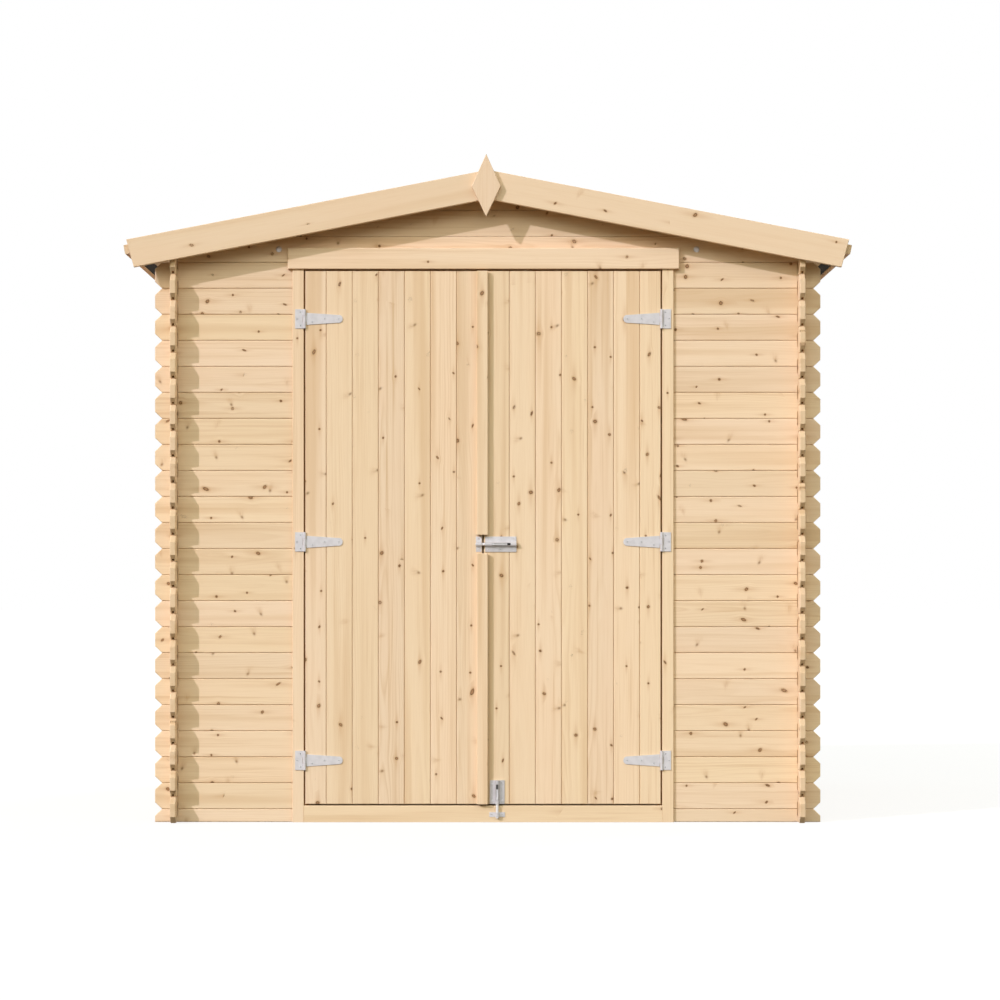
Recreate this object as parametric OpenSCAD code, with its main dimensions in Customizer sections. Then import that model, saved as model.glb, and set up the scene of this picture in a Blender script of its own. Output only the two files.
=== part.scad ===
// Garden shed of interlocking wall boards, with a felted gable roof and a pair
// of boarded doors. X runs to the right seen from the doors, the doors face -Y,
// Z is up. The origin is the centre of the footprint at ground level.

/* [Walls] */
// Width over the outer faces of the side walls
shed_w = 2136; // [2100:4:2200]
// Depth over the outer faces of the door wall and the back wall
shed_d = 2016; // [1600:4:3000]
// Thickness of a wall board
wall_t = 19; // [16:1:22]
// Height that one wall board covers
board_h = 88; // [86:1:92]
// Whole boards in the door wall, above the half board at the ground
courses = 21; // [21:1:23]
// How far the door wall and back wall boards run past the side walls
front_reach = 57; // [45:1:70]
// How far the side wall boards run past the door wall and back wall
side_reach = 67; // [55:1:67]
// Length of the chamfer at a board's crossing end
tip_l = 23; // [10:1:30]
// Height of that chamfer
tip_h = 22; // [15:1:38]

/* [Doorway] */
// Clear width between the jambs
door_w = 1210.5; // [1150:0.5:1300]
// How far the doorway's middle lies to the left of the shed's middle
door_shift = 15.75; // [0:0.25:30]
// Width of a jamb seen from the front
jamb_w = 38.5; // [34:0.5:45]
// Depth of a jamb
jamb_d = 44; // [40:1:50]
// How far the jambs and leaves stand in front of the door wall
door_proud = 10; // [8:1:10]
// Height of the sill
sill_h = 56; // [50:1:60]
// Height of the door head above the leaves
head_h = 24; // [20:1:30]
// Gap between a leaf and what surrounds it
gap = 5; // [5:0.5:6]
// Thickness of the boards, ledges and braces of a leaf
leaf_t = 19; // [16:1:19]
// Width of a ledge or a brace
ledge_w = 90; // [70:1:100]
// Height of each hinge and of the ledge behind it
hinge_z = [209, 947, 1700]; // [150:1:1750]

/* [Roof] */
// Slope of the roof in degrees
pitch = 10.9; // [10:0.1:13]
// Width over the eaves
roof_w = 2447; // [2430:1:2700]
// How far the roof deck runs past the door wall and back wall
overhang = 68; // [68:1:120]
// Thickness of the roof boards
deck_t = 19; // [16:1:22]
// Thickness of the roofing felt
felt_t = 3; // [2:0.5:4]
// Width of the felt folded back under the eaves
felt_return = 32; // [20:1:130]
// Height of a bargeboard across its width
barge_h = 96; // [90:1:110]
// Thickness of a bargeboard and of a finial
barge_t = 19; // [16:1:22]
// Width and height of the diamond finial
finial = [97, 209.5]; // [90:0.5:220]
// How far the finial hangs to the left of the ridge
finial_shift = 5; // [0:1:10]

/* [Ironmongery] */
// Thickness of the hinge and bolt plates
plate_t = 3; // [2:0.5:3]
// Diameter of the sliding rod of a barrel bolt
rod_d = 10; // [8:1:10]
// How far a rod slides
rod_travel = 30; // [26:1:30]

/* [Hidden] */
$fn = 48;
eps = 1;

wood = [0.87, 0.74, 0.55];
wood_inside = [0.80, 0.67, 0.48];
felt_black = [0.12, 0.12, 0.13];
zinc = [0.72, 0.72, 0.74];

// walls
out_x = shed_w / 2;
in_x = out_x - wall_t;
out_y = shed_d / 2;
in_y = out_y - wall_t;
half = board_h / 2;
wall_top = courses * board_h + half;
side_rise = 14; // top side board above a whole course
side_top = (courses + 1) * board_h + side_rise;
tan_p = tan(pitch);
cos_p = cos(pitch);
sin_p = sin(pitch);
ridge_z = side_top + tan_p * in_x;

// doorway
door_mid = -door_shift;
jamb_in_l = door_mid - door_w / 2;
jamb_in_r = door_mid + door_w / 2;
jamb_out_l = jamb_in_l - jamb_w;
jamb_out_r = jamb_in_r + jamb_w;
groove = 12;
face_y = -out_y - door_proud;
jamb_back_y = face_y + jamb_d;
head_z = wall_top - head_h;
stop_w = 15;
stop_y = face_y + leaf_t + gap;
head_stop_h = 20;
lintel = [15.5, 18.5, 47]; // past the left jamb, past the right jamb, above the wall's top

// leaves: x from the hinge edge to the meeting edge
leaf_z0 = sill_h + gap;
leaf_z1 = head_z - gap - 1; // a millimetre more for sagging
leaf_l = [jamb_in_l + gap, door_mid - gap / 2];
leaf_r = [door_mid + gap / 2, jamb_in_r - gap];
leaf_back_y = face_y + leaf_t;
frame_edge_gap = 30;
brace_play = 0.5;
strip_x = [door_mid - 21, door_mid + 16.5];
strip_lap = gap;

// hinges
knuckle_r = 5;
knuckle_clear = 1.2;
knuckle_play = 0.3;
plate_from = knuckle_r + knuckle_clear;
pin_r = 2.5;
pin_play = 0.1;
pin_y = face_y - knuckle_r;
pin_left = jamb_in_l + gap / 2;
pin_right = jamb_in_r - gap / 2;
hinge_h = 65;
hinge_plate_w = 32;
strap_root = 41;
strap_tip = 27;
strap_len = 129;

// barrel bolts: a plate with a tunnel, a rod and a keeper
rod_play = 0.1;
tunnel_r = rod_d / 2 + 3;
rod_out = tunnel_r + rod_play;
bore_r = rod_d / 2 + rod_play;
knob_r = 3.2;
knob_out = 10;
slot_play = 0.6;
keeper_t = 2;
loop_wall = 2;
lock_z = 939;
lock_plate = [106, 52];
lock_slot = [23, 86];
lock_x = leaf_r[0] + 4.25;
lock_rod_from = -32;
lock_knob = 29;
lock_keeper = [-30.5, -11.3]; // along the rod, from the plate's edge
floor_plate = [80, 50];
floor_slot = [14, 66];
floor_x = 32;
floor_top = leaf_z0 + floor_plate[0] + 1;
floor_rod_foot = 14;
floor_knob = 60;
floor_keeper_z = [18, 34];
floor_keeper_w = 53;
strip_break = [lock_z - lock_plate[1] / 2 - gap, lock_z + lock_plate[1] / 2 + gap];

// roof
fascia_t = 16;
fascia_h = 31;
fascia_lip = 4;
roof_run = (roof_w / 2 - (deck_t + felt_t + fascia_lip) * sin_p) / cos_p;
deck_run = roof_run - fascia_t - felt_t;
deck_y = out_y + overhang;
hair = 0.02; // gap that keeps a roof layer off what carries it
ridge_strip = 125;
barge_top = ridge_z + 41.5;
barge_end = [roof_w / 2 - 11.5, roof_w / 2 - 37]; // top and bottom corner
finial_top = barge_top + 51;
finial_mid = finial_top - 108;

// floor
bearer = [58, 38];
bearers = 5;
bearer_span = 2 * in_y - bearer[0] - 2 * jamb_d;

// roof timbers
purlin_w = 45;
ridge_purlin_h = 95;
side_purlin_h = 70;
side_purlin_x = 706;
cleat = [45, 27, 235]; // width, thickness and length of a cleat under a side purlin
bolt_head = [10, 5]; // radius and height

// ---- helpers ----

function roof_at(x) = ridge_z - tan_p * abs(x);

// A prism along Y with its outline given in X and Z
module xz_prism(points, y0, y1)
    translate([0, y1, 0]) rotate([90, 0, 0]) linear_extrude(y1 - y0) polygon(points);

// A prism along X with its outline given in Y and Z
module yz_prism(points, x0, x1)
    translate([x0, 0, 0]) rotate([90, 0, 90]) linear_extrude(x1 - x0) polygon(points);

module block(lo, hi) translate(lo) cube(hi - lo);

// The notched and chamfered edge of a stack of boards, climbing: reach is the
// tip's distance from the middle, z0 the lowest board's bottom, n the boards
function tips(reach, z0, n) = [
    for (k = [0:n - 1], p = [[tip_l, 0], [0, tip_h], [0, board_h - tip_h], [tip_l, board_h]])
        [reach - p[0], z0 + k * board_h + p[1]]
];

function above(points, z) = [for (p = points) if (p[1] >= z) p];
function swapped(points) = [for (k = [len(points) - 1:-1:0]) [-points[k][0], points[k][1]]];

// ---- door wall and back wall ----

wall_edge = concat(
    [[out_x + front_reach, 0]],
    above(tips(out_x + front_reach, -half, courses + 1), 1)
);

// The slots that the side walls' boards pass through, on the +X side
module side_slots(y0, y1)
    for (k = [0:courses])
        block([in_x, y0, (k + 0.25) * board_h], [out_x, y1, (k + 0.75) * board_h]);

module wall_right_of(x, y0, y1)
    difference() {
        xz_prism(concat([[x, 0]], wall_edge, [[x, wall_top]]), y0, y1);
        side_slots(y0 - eps, y1 + eps);
    }

module front_wall_left()
    color(wood) mirror([1, 0, 0]) wall_right_of(-jamb_out_l - groove, -out_y, -in_y);

module front_wall_right()
    color(wood) wall_right_of(jamb_out_r - groove, -out_y, -in_y);

module back_wall()
    color(wood) difference() {
        xz_prism(concat(wall_edge, swapped(wall_edge)), in_y, out_y);
        side_slots(in_y - eps, out_y + eps);
        mirror([1, 0, 0]) side_slots(in_y - eps, out_y + eps);
    }

module gable(y0, y1)
    color(wood) xz_prism([
        [-in_x, wall_top], [in_x, wall_top], [in_x, roof_at(in_x)],
        [0, ridge_z], [-in_x, roof_at(in_x)]
    ], y0, y1);

module front_gable() gable(-out_y, -in_y);
module back_gable() gable(in_y, out_y);

// ---- side walls ----

side_edge = concat(tips(out_y + side_reach, 0, courses + 1), [[out_y + side_reach - tip_l, side_top]]);

// The slots that the boards of the door wall or back wall pass through
module end_slots()
    for (k = [0:courses])
        block([in_x - eps, in_y, k == 0 ? -eps : (k - 0.25) * board_h],
              [out_x + eps, out_y, (k + 0.25) * board_h]);

module side_wall()
    color(wood) difference() {
        yz_prism(concat(side_edge, swapped(side_edge)), in_x, out_x);
        end_slots();
        mirror([0, 1, 0]) end_slots();
        xz_prism([[in_x, side_top], [in_x, side_top + eps], [out_x + eps, side_top + eps],
                  [out_x + eps, roof_at(out_x + eps)]], -out_y - side_reach, out_y + side_reach);
    }

module side_wall_right() side_wall();
module side_wall_left() mirror([1, 0, 0]) side_wall();

// ---- door frame ----

// A jamb for the right: grooved for the wall boards, rebated as a stop for the leaf
module jamb(x_in, x_out)
    color(wood) difference() {
        union() {
            linear_extrude(head_z) polygon([
                [x_in, face_y], [x_out, face_y], [x_out, jamb_back_y],
                [x_in - stop_w, jamb_back_y], [x_in - stop_w, stop_y], [x_in, stop_y]
            ]);
            block([x_in, -out_y, head_z - eps], [x_out, jamb_back_y, wall_top]);
        }
        block([x_out - groove, -out_y, -eps], [x_out + eps, -in_y, wall_top + eps]);
    }

module door_jamb_right() jamb(jamb_in_r, jamb_out_r);
module door_jamb_left() mirror([1, 0, 0]) jamb(-jamb_in_l, -jamb_out_l);

// The head fills the wall over the leaves, with a stop behind them
module door_head()
    color(wood) union() {
        block([jamb_in_l, -out_y, head_z], [jamb_in_r, jamb_back_y, wall_top]);
        block([jamb_in_l + stop_w, stop_y, head_z - head_stop_h],
              [jamb_in_r - stop_w, jamb_back_y, head_z + eps]);
    }

module door_sill()
    color(wood) union() {
        block([jamb_in_l, face_y, 0], [jamb_in_r, stop_y, sill_h]);
        block([jamb_in_l + stop_w, stop_y - eps, 0], [jamb_in_r - stop_w, jamb_back_y, sill_h]);
    }

module door_lintel()
    color(wood) block([jamb_out_l - lintel[0], -out_y - wall_t, head_z],
                      [jamb_out_r + lintel[1], -out_y, wall_top + lintel[2]]);

// ---- floor ----

module floor_bearers()
    color(wood_inside)
        for (k = [0:bearers - 1]) {
            y = (k / (bearers - 1) - 0.5) * bearer_span;
            block([-in_x, y - bearer[0] / 2, 0], [in_x, y + bearer[0] / 2, bearer[1]]);
        }

module floor_boards()
    color(wood_inside) difference() {
        block([-in_x, -in_y, bearer[1]], [in_x, in_y, sill_h]);
        block([jamb_out_l, -in_y - eps, bearer[1] - eps], [jamb_out_r, jamb_back_y, sill_h + eps]);
    }

// ---- roof timbers ----

module purlin(x, h)
    xz_prism([
        [x - purlin_w / 2, roof_at(x) - h], [x + purlin_w / 2, roof_at(x) - h],
        [x + purlin_w / 2, roof_at(x + purlin_w / 2)], [x, roof_at(x)],
        [x - purlin_w / 2, roof_at(x - purlin_w / 2)]
    ], -in_y, in_y);

module ridge_purlin() color(wood_inside) purlin(0, ridge_purlin_h);

module side_purlins() color(wood_inside) for (s = [-1, 1]) purlin(s * side_purlin_x, side_purlin_h);

module gable_cleats()
    color(wood_inside)
        for (e = [0, 1], x = [-side_purlin_x, 0, side_purlin_x]) {
            top = roof_at(x) - (x == 0 ? ridge_purlin_h : side_purlin_h) - hair;
            foot = x == 0 ? wall_top : top - cleat[2];
            mirror([0, e, 0]) block([x - cleat[0] / 2, -in_y, foot],
                                    [x + cleat[0] / 2, -in_y + cleat[1], top]);
        }

// Round bolt heads that tie the gable boards to the cleats
module coach_bolts()
    color(zinc)
        for (e = [0, 1], s = [-1, 1])
            mirror([0, e, 0]) translate([s * side_purlin_x, -out_y, wall_top + half])
                rotate([90, 0, 0]) cylinder(h = bolt_head[1], r = bolt_head[0]);

// ---- roof covering ----

// Places a half roof: local x runs down the slope, local z stands square to it
module on_slope() translate([0, 0, ridge_z + hair]) rotate([0, pitch, 0]) children();

// A layer on the right slope between two heights above the rafters' line,
// cut upright at the ridge
module slope_layer(v0, v1, run, half_y)
    on_slope() xz_prism([[-v0 * tan_p, v0], [run, v0], [run, v1], [-v1 * tan_p, v1]], -half_y, half_y);

module roof_deck() color(wood_inside) slope_layer(0, deck_t, deck_run, deck_y);

// The felt turns down over the deck's edge and back under the eaves
module roof_felt()
    color(felt_black) on_slope() xz_prism([
        [-deck_t * tan_p, deck_t], [deck_run, deck_t], [deck_run, 0], [deck_run - felt_return, 0],
        [deck_run - felt_return, -felt_t], [deck_run + felt_t, -felt_t],
        [deck_run + felt_t, deck_t + felt_t], [-(deck_t + felt_t) * tan_p, deck_t + felt_t]
    ], -deck_y, deck_y);

module eave_fascia()
    color(wood) on_slope() translate([deck_run + felt_t, -deck_y, deck_t + felt_t + fascia_lip - fascia_h])
        cube([fascia_t, 2 * deck_y, fascia_h]);

module bargeboard()
    color(wood) xz_prism([
        [0, barge_top - barge_h / cos_p], [0, barge_top],
        [barge_end[0], barge_top - tan_p * barge_end[0]],
        [barge_end[1], barge_top - barge_h / cos_p - tan_p * barge_end[1]]
    ], -deck_y - barge_t, -deck_y);

module finial_at_front()
    color(wood) translate([-finial_shift, 0, 0]) xz_prism([
        [0, finial_top - finial[1]], [finial[0] / 2, finial_mid],
        [0, finial_top], [-finial[0] / 2, finial_mid]
    ], -deck_y - 2 * barge_t, -deck_y - barge_t);

module roof_deck_right() roof_deck();
module roof_deck_left() mirror([1, 0, 0]) roof_deck();
module roof_felt_right() roof_felt();
module roof_felt_left() mirror([1, 0, 0]) roof_felt();
module eave_fascia_right() eave_fascia();
module eave_fascia_left() mirror([1, 0, 0]) eave_fascia();
module bargeboard_front_right() bargeboard();
module bargeboard_front_left() mirror([1, 0, 0]) bargeboard();
module bargeboard_back_right() mirror([0, 1, 0]) bargeboard();
module bargeboard_back_left() mirror([1, 0, 0]) mirror([0, 1, 0]) bargeboard();
module finial_front() finial_at_front();
module finial_back() mirror([0, 1, 0]) finial_at_front();

// Where a point on the right slope lies, seen from the ridge
function from_ridge(u, v) = [u * cos_p + v * sin_p, v * cos_p - u * sin_p];

// A strip of felt folded over the ridge
module ridge_felt() {
    low = deck_t + felt_t + hair;
    high = low + felt_t;
    edge = [from_ridge(ridge_strip, low), from_ridge(ridge_strip, high)];
    color(felt_black) translate([0, 0, ridge_z + hair])
        xz_prism(concat([[0, low / cos_p]], edge, [[0, high / cos_p]], swapped(edge)), -deck_y, deck_y);
}

// ---- door leaves ----

module leaf_boards(x) color(wood) block([x[0], face_y, leaf_z0], [x[1], leaf_back_y, leaf_z1]);

// Three ledges and two braces on the back of a leaf. The hinge edge is at x0,
// the meeting edge at x1; the braces climb from the hinge edge
module leaf_frame(x0, x1)
    color(wood_inside) {
        for (z = hinge_z)
            block([x0, leaf_back_y, z - ledge_w / 2], [x1, leaf_back_y + leaf_t, z + ledge_w / 2]);
        for (k = [0, 1]) {
            z0 = hinge_z[k] + ledge_w / 2 + brace_play;
            z1 = hinge_z[k + 1] - ledge_w / 2 - brace_play;
            xz_prism([[x0, z0], [x0 + ledge_w, z0], [x1, z1], [x1 - ledge_w, z1]],
                     leaf_back_y, leaf_back_y + leaf_t);
        }
    }

module left_leaf_boards() leaf_boards(leaf_l);
module right_leaf_boards() leaf_boards(leaf_r);
module left_leaf_frame() leaf_frame(leaf_l[0] + stop_w, leaf_l[1] - frame_edge_gap);
module right_leaf_frame()
    mirror([1, 0, 0]) leaf_frame(-leaf_r[1] + stop_w, -leaf_r[0] - frame_edge_gap);

// The cover strip on the left leaf, rebated where it laps the right one, and
// broken for the lock bolt
module meeting_strips()
    color(wood) for (z = [[leaf_z0, strip_break[0]], [strip_break[1], leaf_z1 - 1]])
        translate([0, 0, z[0]]) linear_extrude(z[1] - z[0]) polygon([
            [strip_x[0], face_y - leaf_t], [strip_x[1], face_y - leaf_t],
            [strip_x[1], face_y - strip_lap], [leaf_l[1], face_y - strip_lap],
            [leaf_l[1], face_y], [strip_x[0], face_y]
        ]);

// ---- hinges ----

middle_knuckle = hinge_h / 6 + knuckle_play;
knuckles = [-hinge_h / 2, -middle_knuckle, middle_knuckle, hinge_h / 2];

// The jamb's half of a right-hand hinge, pin at x: a plate, two knuckles, the pin
module hinge_plate(x, z)
    translate([x, 0, z]) {
        for (k = [0, 2]) {
            h = knuckles[k + 1] - knuckles[k];
            translate([0, pin_y, knuckles[k]]) cylinder(h = h, r = knuckle_r);
            block([0, face_y - plate_t, knuckles[k]], [plate_from + eps, face_y, knuckles[k + 1]]);
        }
        block([plate_from, face_y - plate_t, -hinge_h / 2], [hinge_plate_w, face_y, hinge_h / 2]);
        translate([0, pin_y, -hinge_h / 2]) cylinder(h = hinge_h, r = pin_r);
    }

module hinge_plates()
    color(zinc) for (z = hinge_z) {
        hinge_plate(pin_right, z);
        mirror([1, 0, 0]) hinge_plate(-pin_left, z);
    }

// The leaf's half of a right-hand hinge: a knuckle bored for the pin and a
// tapered strap with a round tip
module hinge_strap(x, z)
    translate([x, 0, z]) difference() {
        h = 2 * middle_knuckle - 4 * knuckle_play;
        union() {
            translate([0, pin_y, -h / 2]) cylinder(h = h, r = knuckle_r);
            block([-plate_from - eps, face_y - plate_t, -h / 2], [0, face_y, h / 2]);
            xz_prism(concat(
                [[-plate_from, -strap_root / 2], [-plate_from, strap_root / 2]],
                [for (a = [80:20:280]) [-strap_len + strap_tip / 2, 0] + strap_tip / 2 * [cos(a), sin(a)]]
            ), face_y - plate_t, face_y);
        }
        translate([0, pin_y, -h]) cylinder(h = 2 * h, r = pin_r + pin_play);
    }

module hinge_straps_right() color(zinc) for (z = hinge_z) hinge_strap(pin_right, z);
module hinge_straps_left()
    color(zinc) mirror([1, 0, 0]) for (z = hinge_z) hinge_strap(-pin_left, z);

// ---- barrel bolts ----
// Local frame of a bolt: the rod runs along x, the plate's back lies in y = 0
// and its face looks to -y

module bolt_body(size, slot)
    difference() {
        union() {
            block([0, -plate_t, -size[1] / 2], [size[0], 0, size[1] / 2]);
            block([0, -rod_out, -tunnel_r], [size[0], -plate_t + eps, tunnel_r]);
            translate([0, -rod_out, 0]) rotate([0, 90, 0]) cylinder(h = size[0], r = tunnel_r);
        }
        translate([-eps, -rod_out, 0]) rotate([0, 90, 0]) cylinder(h = size[0] + 2 * eps, r = bore_r);
        block([slot[0], -rod_out - tunnel_r - eps, -knob_r - slot_play],
              [slot[1], -rod_out, knob_r + slot_play]);
    }

module bolt_rod(x0, x1, knob_x)
    translate([0, -rod_out, 0]) {
        translate([x0, 0, 0]) rotate([0, 90, 0]) cylinder(h = x1 - x0, r = rod_d / 2);
        translate([knob_x, 0, 0]) rotate([90, 0, 0]) cylinder(h = tunnel_r + knob_out, r = knob_r);
    }

// A strap with a raised loop that the rod enters; w runs across the rod
module bolt_keeper(x0, x1, w)
    difference() {
        hole_r = rod_d / 2 + slot_play;
        loop_r = hole_r + loop_wall;
        union() {
            block([x0, -keeper_t, -w / 2], [x1, 0, w / 2]);
            block([x0, -rod_out, -loop_r], [x1, 0, loop_r]);
            translate([x0, -rod_out, 0]) rotate([0, 90, 0]) cylinder(h = x1 - x0, r = loop_r);
        }
        translate([x0 - eps, -rod_out, 0]) rotate([0, 90, 0])
            cylinder(h = x1 - x0 + 2 * eps, r = hole_r);
    }

module at_lock() translate([lock_x, face_y, lock_z]) children();
module at_floor() translate([floor_x, face_y, floor_top]) rotate([0, 90, 0]) children();

module lock_bolt_body() color(zinc) at_lock() bolt_body(lock_plate, lock_slot);
module lock_bolt_rod()
    color(zinc) at_lock() bolt_rod(lock_rod_from, lock_plate[0] - rod_travel - 1, lock_knob);
module lock_bolt_keeper() color(zinc) at_lock() bolt_keeper(lock_keeper[0], lock_keeper[1], lock_plate[1]);
module floor_bolt_body() color(zinc) at_floor() bolt_body(floor_plate, floor_slot);
module floor_bolt_rod()
    color(zinc) at_floor() bolt_rod(rod_travel + 1, floor_top - floor_rod_foot, floor_knob);
module floor_bolt_keeper()
    color(zinc) at_floor()
        bolt_keeper(floor_top - floor_keeper_z[1], floor_top - floor_keeper_z[0], floor_keeper_w);

front_wall_left();
front_wall_right();
front_gable();
back_wall();
back_gable();
side_wall_left();
side_wall_right();
door_jamb_left();
door_jamb_right();
door_head();
door_sill();
door_lintel();
floor_bearers();
floor_boards();
ridge_purlin();
side_purlins();
gable_cleats();
coach_bolts();
roof_deck_left();
roof_deck_right();
roof_felt_left();
roof_felt_right();
ridge_felt();
bargeboard_front_left();
bargeboard_front_right();
bargeboard_back_left();
bargeboard_back_right();
finial_front();
finial_back();
eave_fascia_left();
eave_fascia_right();
left_leaf_boards();
left_leaf_frame();
meeting_strips();
right_leaf_boards();
right_leaf_frame();
hinge_plates();
hinge_straps_left();
hinge_straps_right();
lock_bolt_body();
lock_bolt_rod();
lock_bolt_keeper();
floor_bolt_body();
floor_bolt_rod();
floor_bolt_keeper();
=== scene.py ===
import math
import random

import bmesh
import bpy
from mathutils import Matrix, Vector, noise


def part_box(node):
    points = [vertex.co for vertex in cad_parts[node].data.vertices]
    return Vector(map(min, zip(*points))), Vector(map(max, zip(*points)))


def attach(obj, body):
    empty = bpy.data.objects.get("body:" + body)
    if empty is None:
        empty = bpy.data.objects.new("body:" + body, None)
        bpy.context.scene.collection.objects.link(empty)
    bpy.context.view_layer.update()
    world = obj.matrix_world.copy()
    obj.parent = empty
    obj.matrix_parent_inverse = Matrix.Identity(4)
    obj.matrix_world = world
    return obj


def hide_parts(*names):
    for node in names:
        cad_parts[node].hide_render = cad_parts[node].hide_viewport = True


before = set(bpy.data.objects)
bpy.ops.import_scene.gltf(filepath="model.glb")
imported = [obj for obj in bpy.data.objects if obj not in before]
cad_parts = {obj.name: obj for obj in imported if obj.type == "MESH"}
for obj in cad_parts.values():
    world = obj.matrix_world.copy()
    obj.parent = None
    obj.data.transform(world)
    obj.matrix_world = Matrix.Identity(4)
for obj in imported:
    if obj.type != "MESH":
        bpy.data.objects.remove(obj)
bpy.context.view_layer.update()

# ---- sizes ----
# Everything is in metres, in the frame's axes: X right, doors towards -Y, Z up.

COURSES = 21  # whole boards in the door wall, above a half board
PITCH = math.radians(10.9)
CHAMFER = 0.0019  # the eased edge that makes a V with the next board's
JOINT = 0.0005  # half the open line between two boards
TONGUE = (0.007, 0.006, 0.009)  # thickness and height of a tongue, depth of its groove
TIP = (0.023, 0.022)  # length and height of the chamfer at a crossing end
PLAY = 0.0013  # play at each side of a crossing board in its notch
END_SHADE = (0.40, 0.50)  # how far the sawn ends turn brown: square ones, and slanted ones, whose extra darkness is painted shade that dims their lit tops and darkens their undersides
JOINT_PAINTED_SHADE = 0.70  # and the edges that lie in the joints, as painted shade
STOP_SHADE = 0.85  # and the stops behind the leaves, as painted shade at the back of the gaps
FRAME_EDGE_SHADE, LINTEL_EDGE_SHADE = 0.5, 0.8  # and the edges of the jambs and fascias, and of the lintel: painted shade in the gaps by the leaves and under the eaves
NARROW = 0.0035  # faces less wide than this are eased edges, and not ends
EASED = 0.0015  # the eased edges of the frame and the floor's bearers
BLUNT = 0.002  # and those of the sill, the cover strip, the purlins and the cleats
DECK_BOARDS = 24
FLOOR_BOARDS = 22
LEAF_BOARDS = (0.071, 0.088)  # width of the board at the hinges and of the others
HINGE_Z = (0.209, 0.947, 1.700)
SEED = 7

front_lo, front_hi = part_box("front_wall_left")
side_lo, side_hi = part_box("side_wall_right")
wall_top = front_hi.z
board_h = wall_top / (COURSES + 0.5)
out_x, in_x = side_hi.x, side_lo.x
out_y, in_y = -front_lo.y, -front_hi.y
front_tip = -front_lo.x
side_tip = side_hi.y
side_top = side_hi.z
tan_p = math.tan(PITCH)
ridge_z = side_top + tan_p * in_x
deck_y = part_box("roof_deck_right")[1].y

rng = random.Random(SEED)


def roof_at(x):
    return ridge_z - tan_p * abs(x)


# ---- meshes ----

XZ = Matrix(((1, 0, 0, 0), (0, 0, -1, 0), (0, 1, 0, 0), (0, 0, 0, 1)))  # outline in X, Z; depth -Y
YZ = Matrix(((0, 0, 1, 0), (1, 0, 0, 0), (0, 1, 0, 0), (0, 0, 0, 1)))  # outline in Y, Z; depth X
XY = Matrix.Identity(4)  # outline in X, Y; depth Z
U, V, W = Vector((1, 0, 0)), Vector((0, 1, 0)), Vector((0, 0, 1))
OUT = -V


def rect(u0, v0, u1, v1):
    return [(u0, v0), (u1, v0), (u1, v1), (u0, v1)]


def corners(points):
    """Each corner of an outline with the unit steps that lead to it and away from it."""
    for k, p in enumerate(points):
        here, after = Vector(p), Vector(points[(k + 1) % len(points)])
        yield here, (here - Vector(points[k - 1])).normalized(), (after - here).normalized()


def inset(points, d):
    """The outline moved inwards by d, mitred at its corners."""
    moved = []
    for here, a, b in corners(points):
        na, nb = Vector((-a.y, a.x)), Vector((-b.y, b.x))
        moved.append(tuple(here + d * (na + nb) / max(0.3, 1 + na.dot(nb))))
    return moved


def eased(points, d, only=None):
    """The outline with its outward corners cut back by d."""
    result = []
    for k, (here, a, b) in enumerate(corners(points)):
        outward = a.x * b.y - a.y * b.x > 0.2
        if outward and (only is None or k in only):
            result += [tuple(here - d * a), tuple(here + d * b)]
        else:
            result.append(points[k])
    return result


class Piece:
    """A mesh in the making, which finish turns into one object of the scene."""

    sharp = None  # smooth faces stay apart where they turn by more degrees

    def __init__(self, name):
        self.name = name
        self.bm = bmesh.new()

    def finish(self, material, *nodes, body="root"):
        """Makes the object, rides it on its body and lets it stand for its CAD nodes."""
        mesh = bpy.data.meshes.new(self.name)
        self.bm.to_mesh(mesh)
        self.bm.free()
        if self.sharp:
            mesh.set_sharp_from_angle(angle=math.radians(self.sharp))
        piece = bpy.data.objects.new(self.name, mesh)
        bpy.context.scene.collection.objects.link(piece)
        mesh.materials.append(material)
        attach(piece, body)
        if nodes:
            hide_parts(*nodes)


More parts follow.
